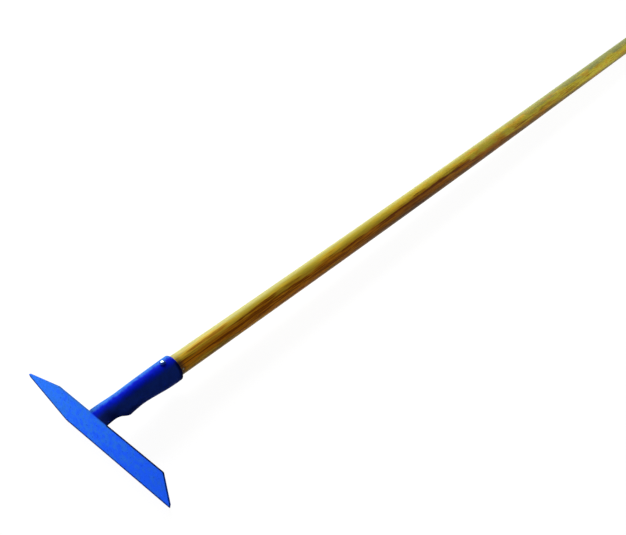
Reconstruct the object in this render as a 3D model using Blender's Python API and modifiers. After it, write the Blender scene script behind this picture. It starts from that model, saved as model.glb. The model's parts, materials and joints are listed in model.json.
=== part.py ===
"""Path weeder: a pressed steel head on an ash handle, lying at rest on the floor.

The head is one piece of sheet steel. A long blade with a tapered point at one end is bent down from a flat
neck, the neck deepens into a trough, and its shoulders are rolled round into a tapered socket with an open
seam underneath. The ash handle is shaped to the socket, and a domed nail through the socket's spine holds it.

Units are metres, +Z is up. The tool is modelled about its handle: y runs up the handle from the neck's bend,
x runs along the blade and z points to the socket's spine. An empty then leans the tool until its cutting edge
and the end of its handle both rest on the floor, with the origin under the middle of its box.
"""

import math

import bmesh
import bpy
from mathutils import Vector

SHEET = 0.0026

# Blade: x along the blade from the handle's axis, drop from its back edge
BLADE_DEPTH = 0.0352
BLADE_ANGLE = math.radians(72.0)
BACK_EDGE_Y = -0.0039
BACK_RIGHT_X = 0.1114
TIP_RIGHT_X = 0.1323
KINK_X = -0.0510
TIP_LEFT = (-0.1295, 0.0156)
TIP_LEFT_LOWER = (-0.1256, 0.0183)
BACK_LEFT_X = -0.0730
BACK_CORNER_RADIUS = 0.0015
BACK_LEFT_RADIUS = 0.0020
TIP_RADIUS = 0.0006
KINK_RADIUS = 0.0300
BEND_RADIUS = 0.0032
# The cutting edges are ground on the hidden face, down to a narrow land
GROUND_WIDTH = 0.0032
EDGE_LAND = 0.0006
GRINDER_SIZE = 0.0200

# Neck: flat where it leaves the bend, then a trough that deepens into the socket
NECK_HALF_WIDTH = 0.0152
NECK_HEIGHT = 0.0063
# Each station: y, height of the spine, curvature across the sheet in 1 / metre
NECK_STATIONS = (
    (-0.0009, NECK_HEIGHT, 0.0),
    (0.0040, 0.0082, 15.0),
    (0.0120, 0.0110, 37.0),
    (0.0200, 0.0140, 52.5),
    (0.0320, 0.0156, 62.0),
    (0.0520, 0.0172, 65.1),
)
# The length over which the trough settles into the socket
SETTLE_LENGTH = 0.0100
# Past this y the sheet's edges spread at a steady rate up to the seam, and the fillet softens the turn
SPREAD_START_Y = 0.0140
SPREAD_RATE = 0.90
SPREAD_FILLET = 0.0070

# Socket: its spine is straight and the taper is taken up on the underside
MOUTH_Y = 0.1126
MOUTH_RADIUS = 0.01775
THROAT_RADIUS = 0.01536
TAPER_START_Y = 0.0480
TAPER_END_Y = 0.1060
SPINE_HEIGHT = 0.0174
SEAM_GAP = 0.0028

# Handle
HANDLE_RADIUS = 0.0140
HANDLE_LENGTH = 1.5000
SEAT_Y = 0.0560
SEAT_GAP = 0.00045
SEAT_CHAMFER = 0.0015
END_ROUNDING = 0.0080

# Nail
NAIL_Y = 0.0984
NAIL_ANGLE = math.radians(-7.0)
NAIL_LENGTH = 0.0240
NAIL_RADIUS = 0.0020
NAIL_POINT = 0.0050
NAIL_HEAD_RADIUS = 0.0041
NAIL_HEAD_HEIGHT = 0.0024
NAIL_HEAD_RIM = 0.0006
NAIL_CLEARANCE = 0.00035

# How finely round forms are divided
SECTION_STEPS = 40
HEAD_STEPS = 44
BEND_STEPS = 6
HANDLE_STEPS = 48
NAIL_STEPS = 24
CORNER_STEPS = 3

BLUE_PAINT = (0.015, 0.110, 0.780, 1.0)
ASH = (0.560, 0.370, 0.110, 1.0)
ZINC = (0.560, 0.600, 0.640, 1.0)


def clear_scene():
    for obj in list(bpy.data.objects):
        bpy.data.objects.remove(obj, do_unlink=True)


def new_collection(name):
    collection = bpy.data.collections.new(name)
    bpy.context.scene.collection.children.link(collection)
    return collection


def new_material(name, colour, roughness, metallic):
    material = bpy.data.materials.new(name)
    material.use_nodes = True
    shader = material.node_tree.nodes["Principled BSDF"]
    shader.inputs["Base Color"].default_value = colour
    shader.inputs["Roughness"].default_value = roughness
    shader.inputs["Metallic"].default_value = metallic
    return material


def new_object(name, mesh, collection, parent, material=None):
    obj = bpy.data.objects.new(name, mesh)
    collection.objects.link(obj)
    obj.parent = parent
    if material:
        mesh.materials.append(material)
    return obj


def new_empty(name, collection, parent):
    empty = bpy.data.objects.new(name, None)
    collection.objects.link(empty)
    empty.parent = parent
    return empty


def smooth_faces(mesh, degrees=30.0):
    mesh.shade_smooth()
    mesh.set_sharp_from_angle(angle=math.radians(degrees))


def ramp(value, start, end):
    """0 before start and 1 after end, with no corner between them."""
    t = min(max((value - start) / (end - start), 0.0), 1.0)
    return t * t * (3.0 - 2.0 * t)


def slope_at(stations, i, column):
    low = stations[max(i - 1, 0)]
    high = stations[min(i + 1, len(stations) - 1)]
    return (high[column] - low[column]) / (high[0] - low[0])


def through_stations(stations, y, column):
    """A smooth curve through one column of the stations, read at y."""
    i = 0
    while i < len(stations) - 2 and y > stations[i + 1][0]:
        i += 1
    a, b = stations[i], stations[i + 1]
    length = b[0] - a[0]
    t = min(max((y - a[0]) / length, 0.0), 1.0)
    rise_a = slope_at(stations, i, column) * length
    rise_b = slope_at(stations, i + 1, column) * length
    blend = t * t * (3.0 - 2.0 * t)
    value = a[column] * (1.0 - blend) + b[column] * blend
    return value + rise_a * t * (1.0 - t) ** 2 - rise_b * t * t * (1.0 - t)


def socket_radius(y):
    """Outer radius of the rolled socket."""
    return THROAT_RADIUS + (MOUTH_RADIUS - THROAT_RADIUS) * ramp(y, TAPER_START_Y, TAPER_END_Y)


def seat_lift(y):
    """How far the seated wood lies above the handle's axis: the socket's middle rises as it narrows."""
    return max(0.0, SPINE_HEIGHT - socket_radius(y))


def section_form(y):
    """Height of the spine and curvature of the sheet across the head at y."""
    neck_end = NECK_STATIONS[-1][0]
    if y <= neck_end:
        return through_stations(NECK_STATIONS, y, 1), through_stations(NECK_STATIONS, y, 2)
    settled = ramp(y, neck_end, neck_end + SETTLE_LENGTH)
    neck_height = NECK_STATIONS[-1][1]
    height = neck_height + (SPINE_HEIGHT - neck_height) * settled
    return height, 1.0 / socket_radius(y)


def half_width(y):
    """Half the sheet's width, measured round it: the neck, the shoulders, then the socket up to its seam."""
    past = y - SPREAD_START_Y
    spread = NECK_HALF_WIDTH + SPREAD_RATE * 0.5 * (past + math.hypot(past, SPREAD_FILLET))
    return min(spread, math.pi * socket_radius(y) - 0.5 * SEAM_GAP)


def section_points(y):
    """Points of the sheet's outer face across the head, from -x over the spine to +x."""
    height, curvature = section_form(y)
    points = []
    for i in range(SECTION_STEPS + 1):
        along = half_width(y) * (2.0 * i / SECTION_STEPS - 1.0)
        turn = along * curvature
        if abs(turn) < 1e-5:
            points.append(Vector((along, y, height)))
        else:
            x = math.sin(turn) / curvature
            drop = (1.0 - math.cos(turn)) / curvature
            points.append(Vector((x, y, height - drop)))
    return points


def bend_middle():
    """The centre that the outer face is bent round."""
    return Vector((0.0, BACK_EDGE_Y + BEND_RADIUS * math.sin(BLADE_ANGLE), NECK_HEIGHT - BEND_RADIUS))


def bend_rows():
    """Rows of the outer face round the bend, ending on the blade's back edge."""
    rows = []
    middle = bend_middle()
    half = half_width(middle.y)
    for i in range(1, BEND_STEPS + 1):
        turn = BLADE_ANGLE * i / BEND_STEPS
        offset = Vector((0.0, -math.sin(turn), math.cos(turn))) * BEND_RADIUS
        row = []
        for j in range(SECTION_STEPS + 1):
            along = half * (2.0 * j / SECTION_STEPS - 1.0)
            row.append(middle + offset + Vector((along, 0.0, 0.0)))
        rows.append(row)
    return rows


def drop_direction():
    """The way down the blade from its back edge."""
    return Vector((0.0, -math.cos(BLADE_ANGLE), -math.sin(BLADE_ANGLE)))


def outward_direction():
    """The way out from the blade's outer face, which looks away from the handle."""
    return Vector((0.0, -math.sin(BLADE_ANGLE), math.cos(BLADE_ANGLE)))


def blade_point(x, drop, out=0.0):
    """A point of the blade: x along it, drop from its back edge, out from its outer face."""
    back_edge = bend_middle() + outward_direction() * BEND_RADIUS + Vector((x, 0.0, 0.0))
    return back_edge + drop_direction() * drop + outward_direction() * out


def rounded_corner(before, corner, after, radius):
    """An arc that takes the place of a corner of a flat outline."""
    before, corner, after = Vector(before), Vector(corner), Vector(after)
    back = (before - corner).normalized()
    on = (after - corner).normalized()
    half = 0.5 * back.angle(on)
    middle = corner + (back + on).normalized() * (radius / math.sin(half))
    start = corner + back * (radius / math.tan(half)) - middle
    turn = start.angle_signed(corner + on * (radius / math.tan(half)) - middle)
    points = []
    for i in range(CORNER_STEPS + 1):
        angle = -turn * i / CORNER_STEPS
        cos, sin = math.cos(angle), math.sin(angle)
        points.append(middle + Vector((start.x * cos - start.y * sin, start.x * sin + start.y * cos)))
    return points


def blade_outline():
    """The blade's edge as (x, drop), from the neck's right side round to its left side."""
    neck = half_width(bend_middle().y)
    right, left = (neck, 0.0), (-neck, 0.0)
    corners = (
        ((BACK_RIGHT_X, 0.0), BACK_CORNER_RADIUS),
        ((TIP_RIGHT_X, BLADE_DEPTH), TIP_RADIUS),
        ((KINK_X, BLADE_DEPTH), KINK_RADIUS),
        (TIP_LEFT_LOWER, TIP_RADIUS),
        (TIP_LEFT, TIP_RADIUS),
        ((BACK_LEFT_X, 0.0), BACK_LEFT_RADIUS),
    )
    path = [right] + [corner for corner, _ in corners] + [left]
    outline = []
    for i, (_, radius) in enumerate(corners):
        outline.extend(rounded_corner(path[i], path[i + 1], path[i + 2], radius))
    return outline


def head_sheet():
    """The sheet's outer face: socket, neck and bend as a grid, and the blade as one flat face."""
    mesh = bpy.data.meshes.new("weeder_head")
    shape = bmesh.new()
    length = MOUTH_Y - bend_middle().y
    rows = [section_points(MOUTH_Y - length * i / HEAD_STEPS) for i in range(HEAD_STEPS + 1)]
    grid = [[shape.verts.new(point) for point in row] for row in rows + bend_rows()]
    for upper, lower in zip(grid, grid[1:]):
        for j in range(SECTION_STEPS):
            shape.faces.new((upper[j], lower[j], lower[j + 1], upper[j + 1]))
    edge = [shape.verts.new(blade_point(x, drop)) for x, drop in blade_outline()]
    shape.faces.new(grid[-1] + edge)
    bmesh.ops.recalc_face_normals(shape, faces=shape.faces)
    # The sheet is thickened away from its normals, so those of the blade point away from the handle
    shape.faces.ensure_lookup_table()
    if shape.faces[-1].normal.y > 0.0:
        bmesh.ops.reverse_faces(shape, faces=shape.faces)
    shape.to_mesh(mesh)
    shape.free()
    return mesh


def add_modifier_cut(obj, cutter):
    cut = obj.modifiers.new("cut_" + cutter.name, "BOOLEAN")
    cut.operation = "DIFFERENCE"
    cut.object = cutter


def hidden_cutter(name, shape, collection, parent):
    mesh = bpy.data.meshes.new(name)
    shape.to_mesh(mesh)
    shape.free()
    cutter = new_object(name, mesh, collection, parent)
    cutter.hide_render = True
    cutter.display_type = "WIRE"
    return cutter


def edge_grinder(name, left, right, collection, parent):
    """A block whose inner face is the slope ground on the blade's hidden face along a stretch of its edge."""
    left, right = Vector(left), Vector(right)
    start, end = blade_point(*left), blade_point(*right)
    along = (end - start).normalized()
    past_edge = along.cross(outward_direction())
    slope = (-past_edge * GROUND_WIDTH - outward_direction() * (SHEET - EDGE_LAND)).normalized()
    away = slope.cross(along)
    middle = 0.5 * (start + end) - outward_direction() * EDGE_LAND
    length = (end - start).length + GRINDER_SIZE
    shape = bmesh.new()
    bmesh.ops.create_cube(shape, size=1.0)
    for vert in shape.verts:
        x, y, z = vert.co
        across = slope * (x * GRINDER_SIZE) + away * ((z + 0.5) * GRINDER_SIZE)
        vert.co = middle + across + along * (y * length)
    return hidden_cutter(name, shape, collection, parent)


def nail_drill(collection, axis):
    shape = bmesh.new()
    bottom = SPINE_HEIGHT - NAIL_LENGTH - NAIL_CLEARANCE
    top = SPINE_HEIGHT + NAIL_HEAD_HEIGHT
    radius = NAIL_RADIUS + NAIL_CLEARANCE
    bmesh.ops.create_cone(
        shape, cap_ends=True, segments=NAIL_STEPS, radius1=radius, radius2=radius, depth=top - bottom
    )
    drill = hidden_cutter("nail_drill", shape, collection, axis)
    drill.location = (0.0, 0.0, 0.5 * (top + bottom))
    return drill


def make_head(parts, cutters, tool, drill):
    paint = new_material("blue_paint", BLUE_PAINT, 0.42, 0.0)
    mesh = head_sheet()
    head = new_object("weeder_head", mesh, parts, tool, paint)
    solid = head.modifiers.new("sheet_thickness", "SOLIDIFY")
    solid.thickness = SHEET
    solid.offset = -1.0
    solid.use_even_offset = True
    solid.use_quality_normals = True
    front_start, front_end = (KINK_X, BLADE_DEPTH), (TIP_RIGHT_X, BLADE_DEPTH)
    add_modifier_cut(head, edge_grinder("front_grinder", front_start, front_end, cutters, tool))
    add_modifier_cut(head, edge_grinder("point_grinder", TIP_LEFT_LOWER, front_start, cutters, tool))
    add_modifier_cut(head, drill)
    smooth_faces(mesh)
    return head


def handle_profile():
    """Radius and y of the handle, from the middle of its far end down to the middle of its seated end."""
    far = SEAT_Y + HANDLE_LENGTH
    profile = [(0.0, far)]
    rounding_steps = 6
    for i in range(rounding_steps + 1):
        turn = 0.5 * math.pi * i / rounding_steps
        radius = HANDLE_RADIUS - END_ROUNDING * (1.0 - math.sin(turn))
        profile.append((radius, far - END_ROUNDING * (1.0 - math.cos(turn))))
    seat_steps = 10
    for i in range(seat_steps + 1):
        y = TAPER_END_Y + (SEAT_Y + SEAT_CHAMFER - TAPER_END_Y) * i / seat_steps
        profile.append((min(HANDLE_RADIUS, seat_radius(y)), y))
    profile.append((seat_radius(SEAT_Y) - SEAT_CHAMFER, SEAT_Y))
    profile.append((0.0, SEAT_Y))
    return profile


def seat_radius(y):
    return socket_radius(y) - SHEET - SEAT_GAP


def turned_mesh(name, profile, axis, steps):
    """The mesh that a Screw modifier turns from a profile of (radius, place along the axis)."""
    mesh = bpy.data.meshes.new(name + "_profile")
    shape = bmesh.new()
    verts = []
    for radius, place in profile:
        verts.append(shape.verts.new((radius, place, 0.0) if axis == "Y" else (radius, 0.0, place)))
    for a, b in zip(verts, verts[1:]):
        shape.edges.new((a, b))
    shape.to_mesh(mesh)
    shape.free()
    obj = bpy.data.objects.new(name + "_profile", mesh)
    bpy.context.scene.collection.objects.link(obj)
    screw = obj.modifiers.new("turn", "SCREW")
    screw.axis = axis
    screw.steps = steps
    screw.render_steps = steps
    screw.use_merge_vertices = True
    screw.merge_threshold = 0.00001
    graph = bpy.context.evaluated_depsgraph_get()
    turned = bpy.data.meshes.new_from_object(obj.evaluated_get(graph))
    turned.name = name
    bpy.data.objects.remove(obj, do_unlink=True)
    bpy.data.meshes.remove(mesh)
    return turned


def make_handle(parts, tool, drill):
    ash = new_material("ash", ASH, 0.45, 0.0)
    mesh = turned_mesh("handle", handle_profile(), "Y", HANDLE_STEPS)
    for vert in mesh.vertices:
        vert.co.z += seat_lift(vert.co.y)
    handle = new_object("handle", mesh, parts, tool, ash)
    add_modifier_cut(handle, drill)
    smooth_faces(mesh)
    return handle


def nail_profile():
    """Radius and height of the nail above the underside of its head, top first."""
    profile = []
    dome_steps = 6
    dome = NAIL_HEAD_HEIGHT - NAIL_HEAD_RIM
    for i in range(dome_steps + 1):
        turn = 0.5 * math.pi * i / dome_steps
        profile.append((NAIL_HEAD_RADIUS * math.sin(turn), NAIL_HEAD_RIM + dome * math.cos(turn)))
    profile.append((NAIL_HEAD_RADIUS, 0.0))
    profile.append((NAIL_RADIUS, 0.0))
    profile.append((NAIL_RADIUS, NAIL_POINT - NAIL_LENGTH))
    profile.append((0.0, -NAIL_LENGTH))
    return profile


def make_nail(parts, axis):
    zinc = new_material("zinc", ZINC, 0.30, 1.0)
    mesh = turned_mesh("fixing_nail", nail_profile(), "Z", NAIL_STEPS)
    nail = new_object("fixing_nail", mesh, parts, axis, zinc)
    nail.location = (0.0, 0.0, SPINE_HEIGHT + NAIL_CLEARANCE)
    smooth_faces(mesh)
    return nail


def rest_tool(tool, pieces):
    """Leans the tool on its cutting edge and handle end, then puts the origin under the middle of its box."""
    edge = blade_point(0.0, BLADE_DEPTH, -EDGE_LAND)
    end_y = SEAT_Y + HANDLE_LENGTH - END_ROUNDING
    lean = math.atan2(-HANDLE_RADIUS - edge.z, end_y - edge.y)
    tool.rotation_euler = (-lean, 0.0, 0.0)
    graph = bpy.context.evaluated_depsgraph_get()
    points = []
    for piece in pieces:
        solid = piece.evaluated_get(graph)
        points.extend(solid.matrix_world @ vert.co for vert in solid.data.vertices)
    low = Vector([min(point[axis] for point in points) for axis in range(3)])
    high = Vector([max(point[axis] for point in points) for axis in range(3)])
    middle = 0.5 * (low + high)
    tool.location = (-middle.x, -middle.y, -low.z)


def main():
    clear_scene()
    parts = new_collection("path_weeder")
    cutters = new_collection("cutters")
    tool = new_empty("tool_axis", parts, None)
    nail_axis = new_empty("nail_axis", parts, tool)
    nail_axis.location = (0.0, NAIL_Y, 0.0)
    nail_axis.rotation_euler = (0.0, NAIL_ANGLE, 0.0)
    drill = nail_drill(cutters, nail_axis)
    head = make_head(parts, cutters, tool, drill)
    handle = make_handle(parts, tool, drill)
    nail = make_nail(parts, nail_axis)
    rest_tool(tool, (head, handle, nail))


main()
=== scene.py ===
"""Looks of the path weeder: fine meshes, materials, floor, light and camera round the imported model.

The pieces are modelled in the tool's own frame, in metres. y runs up the handle from the neck's bend, x
runs along the blade and z points to the socket's spine. tool_matrix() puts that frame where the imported
model has it. A place on the blade is (x, drop), where drop is measured down from its back edge.
"""

import json
import math

import bmesh
import bpy
from mathutils import Matrix, Vector, noise


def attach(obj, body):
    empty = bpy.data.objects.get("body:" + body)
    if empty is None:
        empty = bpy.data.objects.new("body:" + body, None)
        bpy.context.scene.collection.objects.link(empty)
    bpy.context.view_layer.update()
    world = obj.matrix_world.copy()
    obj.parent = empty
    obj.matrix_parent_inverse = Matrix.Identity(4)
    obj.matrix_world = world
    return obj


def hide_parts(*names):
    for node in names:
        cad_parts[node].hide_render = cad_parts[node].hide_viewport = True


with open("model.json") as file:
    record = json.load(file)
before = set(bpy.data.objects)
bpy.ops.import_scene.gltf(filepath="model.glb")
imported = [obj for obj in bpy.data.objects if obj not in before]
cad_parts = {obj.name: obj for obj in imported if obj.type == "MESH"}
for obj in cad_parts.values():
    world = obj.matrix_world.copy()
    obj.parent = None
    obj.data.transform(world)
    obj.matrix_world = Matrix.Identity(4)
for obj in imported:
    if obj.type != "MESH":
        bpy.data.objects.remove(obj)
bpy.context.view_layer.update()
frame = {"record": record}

# Blade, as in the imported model. Its two cutting edges are ground on its hidden face.
SHEET = 0.0026
BLADE_DEPTH = 0.0352
BLADE_ANGLE = math.radians(72.0)
BACK_EDGE_Y = -0.0039
BACK_RIGHT = Vector((0.1114, 0.0))
TIP_RIGHT = Vector((0.1323, BLADE_DEPTH))
KINK = Vector((-0.0510, BLADE_DEPTH))
TIP_LEFT_LOWER = Vector((-0.1256, 0.0183))
TIP_LEFT = Vector((-0.1295, 0.0156))
BACK_LEFT = Vector((-0.0730, 0.0))
BACK_CORNER_RADIUS = 0.0015
BACK_LEFT_RADIUS = 0.0020
TIP_RADIUS = 0.0006
KINK_RADIUS = 0.0300
BEND_RADIUS = 0.0032
GROUND_WIDTH = 0.0032
EDGE_LAND = 0.0006

# Neck and shoulders. Each station: y, height of the spine, curvature across the sheet in 1 / metre.
NECK_HALF_WIDTH = 0.0152
NECK_HEIGHT = 0.0063
NECK_STATIONS = (
    (-0.0009, NECK_HEIGHT, 0.0),
    (0.0040, 0.0082, 15.0),
    (0.0120, 0.0110, 37.0),
    (0.0200, 0.0140, 52.5),
    (0.0320, 0.0156, 62.0),
    (0.0520, 0.0172, 65.1),
)
SETTLE_LENGTH = 0.0100
SPREAD_START_Y = 0.0140
SPREAD_RATE = 0.90
SPREAD_FILLET = 0.0070

# Socket
MOUTH_Y = 0.1126
MOUTH_RADIUS = 0.01775
THROAT_RADIUS = 0.01536
TAPER_START_Y = 0.0480
TAPER_END_Y = 0.1060
SPINE_HEIGHT = 0.0174
SEAM_GAP = 0.0028

# The sheet's edges are a little round, but less so where it is thin and at sharp corners
EDGE_ROUND = 0.00045
THIN_EDGE_SHARE = 0.45
CORNER_SHARE = 0.42
# The rolled sheet is not quite even
RIPPLE = 0.00006
RIPPLE_SIZE = 0.011
RIPPLE_Y_SCALE = 0.5
RIPPLE_UP = (0.004, 0.030)

# Handle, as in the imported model, with the slight bow and unevenness of real wood
HANDLE_RADIUS = 0.0140
HANDLE_LENGTH = 1.5000
SEAT_Y = 0.0560
SEAT_GAP = 0.00045
SEAT_CHAMFER = 0.0015
END_ROUNDING = 0.0080
BOW = 0.0026
BOW_END_Y = 1.18
UNEVEN = 0.00010
UNEVEN_PER_METRE = Vector((60.0, 9.0, 60.0))
EVEN_LENGTH = 0.06

# Nail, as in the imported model, with the hammer's dents
NAIL_Y = 0.0984
NAIL_ANGLE = math.radians(-7.0)
NAIL_LENGTH = 0.0240
NAIL_RADIUS = 0.0020
NAIL_POINT = 0.0050
NAIL_HEAD_RADIUS = 0.0041
NAIL_HEAD_HEIGHT = 0.0024
NAIL_HEAD_RIM = 0.0006
NAIL_HEAD_CORNER = 0.0002
NAIL_CLEARANCE = 0.00035
NAIL_DENT = 0.00012
NAIL_DENTS_PER_METRE = 900.0

# How finely round forms are divided
SECTION_STEPS = 72
ROW_LENGTH = 0.0011
BEND_STEPS = 10
ROUND_STEPS = 4
CORNER_STEPS = 6
HANDLE_STEPS = 72
HANDLE_ROW = 0.0085
HANDLE_END_STEPS = 12
NAIL_STEPS = 40
NAIL_DOME_STEPS = 14
WELD_DISTANCE = 0.000002
SHARP_ANGLE = 28.0
NAIL_SHARP_ANGLE = 40.0
# Points of a section's ring on its outer face, and on each of its rounded edges
FACE_POINTS = SECTION_STEPS - 1
EDGE_POINTS = 2 * (ROUND_STEPS + 1) + 2

# Colours of the paint, the wood and the nail
# The blade's two blues: the lighter one at its long point is painted light that falls off along the
# blade
PAINT_LIT_POINT = (0.024, 0.174, 0.850, 1.0)
PAINT_BRIGHT = (0.012, 0.102, 0.890, 1.0)
# A painted highlight: the lit side of the socket in azure
PAINTED_HIGHLIGHT_BLUE = (0.040, 0.180, 0.640, 1.0)
PAINT_DEEP = (0.001, 0.012, 0.700, 1.0)
# Painted shade on the shaded side of the socket
PAINTED_SHADE_NAVY = (0.012, 0.044, 0.370, 1.0)
# Dark painted shade at the neck, the socket's mouth and the shoulders
PAINTED_SHADE_DARK = (0.002, 0.007, 0.075, 1.0)
# A dark navy line along the cutting edges
DARK_EDGE_LINE = (0.002, 0.012, 0.100, 1.0)
FLECK_BLUE = (0.002, 0.036, 0.620, 1.0)
NAIL_BLUE = (0.006, 0.050, 0.420, 1.0)
ZINC_PALE = (0.38, 0.53, 0.60, 1.0)
ZINC_DARK = (0.22, 0.34, 0.42, 1.0)
# The wood's colours round the handle are painted light and shade: straw and gold on the lit side, honey
# in the middle, brown and umber on the shaded side
WOOD_STRAW = (0.480, 0.460, 0.135, 1.0)
WOOD_GOLD = (0.560, 0.440, 0.034, 1.0)
WOOD_HONEY = (0.860, 0.560, 0.034, 1.0)
WOOD_BROWN = (0.800, 0.290, 0.008, 1.0)
WOOD_UMBER = (0.560, 0.190, 0.004, 1.0)
WOOD_KHAKI = (0.360, 0.390, 0.130, 1.0)
WOOD_OLIVE = (0.900, 0.780, 0.070, 1.0)
# Painted shade along the handle's shaded edge, further up
WOOD_EDGE_SHADE = (0.090, 0.050, 0.008, 1.0)
# Painted shadow on the wood beside the socket's mouth
MOUTH_SHADOW = (0.050, 0.036, 0.030, 1.0)
SPECK_COLOUR = (0.560, 0.520, 0.380, 1.0)
WHITE = (1.0, 1.0, 1.0, 1.0)
# Changes of colour that give the paint's dull spots and the wood's dark marks
DULL_PAINT = {"Value": 0.74}
DARK_WOOD = {"Hue": 0.482, "Saturation": 1.06, "Value": 0.34}

# Gloss
PAINT_SPECULAR = 0.012
PAINT_TINT = (0.10, 0.45, 1.0, 1.0)
PAINT_ROUGHNESS = (0.50, 0.60)
WOOD_SPECULAR = 0.12
WOOD_TINT = (1.0, 0.80, 0.25, 1.0)
WOOD_ROUGHNESS = (0.42, 0.55)
ZINC_SPECULAR = 0.12
ZINC_ROUGHNESS = (0.20, 0.36)
GRAIN_DEPTH = 0.00005

# Where the colours change: each pair is where a change starts and where it ends. SIDE is measured from
# the tool's middle towards its shaded side, UP along the tool from the bend, and ALONG along the blade.
# WANDER is how far a noise moves the change.
SHADED_SIDE = (0.798, 0.0, -0.603)
PAINT_WANDER = 0.0010
# Where the painted highlight on the socket's lit side ends; it is wider on the neck
AZURE_SIDE = (-0.0160, -0.0118)
AZURE_UP = (0.030, 0.060)
AZURE_WIDER = 0.0014
# Where the socket's deep blue gives way to its painted shade
NAVY_SIDE = (-0.0075, 0.0010)
# Painted shade on the socket next to its mouth, on the shaded side
MOUTH_SHADE_UP = (MOUTH_Y - 0.0058, MOUTH_Y - 0.0020)
MOUTH_SHADE_SIDE = (-0.0090, 0.0)
# Painted shade on the neck just behind the bend, on the side of the blade's square end
NECK_SHADE_UP = (0.006, 0.026)
NECK_SHADE_ALONG = (-0.0110, 0.0060)
# Painted shade on the shoulders, on the shaded side
SHOULDER_SHADE_UP = (0.035, 0.070)
SHOULDER_SHADE_SIDE = (0.0080, 0.0130)
# Where the painted light along the blade gives way to its brighter blue at the square end
BRIGHT_ALONG = (-0.125, 0.130)
BRIGHT_WANDER = 0.100
BLADE_TO_NECK_UP = (-0.0043, -0.0028)
# How wide the dark line along the cutting edges is, and how far a noise moves it
EDGE_LINE_WIDTH = (0.0011, 0.0030)
EDGE_LINE_WANDER = 0.0004
NAIL_WORN_RADIUS = (0.0011, 0.0024)
NAIL_WORN_WANDER = 0.0005
STREAK_WANDER = 0.0035
PATCH_WANDER = 0.0028
# Where the painted light and shade round the handle change: the pale lit side is wider further up, the
# brown shaded side narrower
GOLD_SIDE = (-0.0115, -0.0055)
HONEY_SIDE = (-0.0115, -0.0035)
PALE_UP = (0.14, 0.36)
PALE_WIDER = 0.0034
BROWN_SIDE = (-0.0058, 0.0015)
BROWN_UP = (0.68, 0.90)
BROWN_NARROWER = 0.0030
BROWN_TO_OLIVE_UP = (0.78, 1.32)
KHAKI_UP = (0.60, 1.30)
OLIVE_UP = (0.45, 0.95)
UMBER_UP = (0.42, 0.62)
# Painted bounce light: the handle's shaded edge lighter, most near the head
BOUNCE_LIGHT_SIDE = (0.0085, 0.0130)
BOUNCE_LIGHT_UP = (0.30, 0.60)
# Painted shade along the handle's shaded edge, growing further up
EDGE_SHADE_SIDE = (0.0070, 0.0135)
EDGE_SHADE_UP = (0.32, 0.58)
BLOTCH_SIDE = (-0.0110, -0.0050)
BLOTCH_UP = (0.45, 0.80)
MARK_SIDE = (-0.0075, 0.0010)
MARK_UP = (0.60, 1.00)
# Painted shadow on the wood beside the socket's mouth, darker on the shaded side
MOUTH_SHADOW_WIDTH = 0.0110
MOUTH_SHADOW_UP = (MOUTH_Y + 0.3 * MOUTH_SHADOW_WIDTH, MOUTH_Y + MOUTH_SHADOW_WIDTH)
MOUTH_SHADOW_SIDE = (-0.0110, -0.0020)
SPECK = (0.0138, 0.1172, 0.0040)
SPECK_SIZE = 0.0019
# Growth rings of the wood, round a pith beside the handle
PITH = (0.028, 0.0, -0.036)
RING_WIDTH = 0.0034
RING_DRIFT = 3.0
EARLY_WOOD = (0.50, 0.92)
# Nearly the whole range of a noise, and two middle parts of it
NOISE_RANGE = (0.2, 0.8)
NOISE_MIDDLE = (0.3, 0.7)
NOISE_CORE = (0.35, 0.65)
# Marks: SPAN is the part of a noise's range where a mark comes up. Two STRENGTHS are those at the start
# and at the end of a change.
SPATTER_SPAN = (0.67, 0.76)
SPATTER_STRENGTH = 0.6
DULL_CLOUD_SPAN = (0.44, 0.62)
DULL_FLECK_SPAN = (0.50, 0.68)
DULL_STRENGTH = 0.5
SPOT_SPAN = (0.35, 0.7)
BLOTCH_SPAN = (0.46, 0.62)
BLOTCH_STRENGTH = 0.45
STREAK_SPAN = (0.49, 0.56)
STREAK_STRENGTH = 0.85
RING_STRENGTH = 0.50
PORE_SPAN = (0.54, 0.72)
PORE_STRENGTHS = (0.15, 0.5)
MARK_STRENGTHS = (0.15, 1.0)
MARK_FAR_STRENGTH = 0.55
# Strengths of the painted shade on the shoulders, of the dark line along the cutting edges, of the
# painted bounce light and the painted shade on the handle's shaded edge, and of the painted shadow
# beside the mouth
SHOULDER_SHADE_STRENGTH = 0.7
EDGE_LINE_STRENGTH = 0.9
BOUNCE_LIGHT_STRENGTHS = (0.8, 0.1)
EDGE_SHADE_STRENGTH = 0.8
MOUTH_SHADOW_STRENGTHS = (0.10, 0.80)

# The floor and the background look white, but light the object as grey ones
FLOOR_SIZE = 30.0
FLOOR_COLOUR = 0.45
FLOOR_SEEN_COLOUR = 0.13
FLOOR_GLOW = 0.945
FLOOR_GLOW_REACH = (1.2, 3.0)
AMBIENT = 0.10
AMBIENT_COLOUR = (1.0, 0.88, 0.78, 1.0)

# Lamps: name, place, point that it faces, width and height, power in watts
LAMPS = (
    ("side", (-1.30, -0.15, 0.74), (0.0, -0.60, 0.03), (0.9, 0.5), 32.0),
    ("front", (-0.75, -2.00, 0.14), (0.0, -0.79, 0.02), (0.5, 0.24), 22.0),
    ("top_fill", (0.60, -0.40, 1.55), (0.0, -0.10, 0.0), (1.0, 1.0), 2.7),
    ("far_fill", (0.50, 0.58, 0.22), (0.0, 0.52, 0.02), (0.3, 0.2), 0.9),
)

# Camera in the tool's frame, for a picture of 626 x 535 pixels
CAMERA_PLACE = (0.5926, -0.3602, 0.7876)
CAMERA_RIGHT = (0.7560, 0.6532, 0.0419)
CAMERA_UP = (-0.4426, 0.4631, 0.7679)
CAMERA_LENS = 50.0
CAMERA_SENSOR = 36.0


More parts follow.
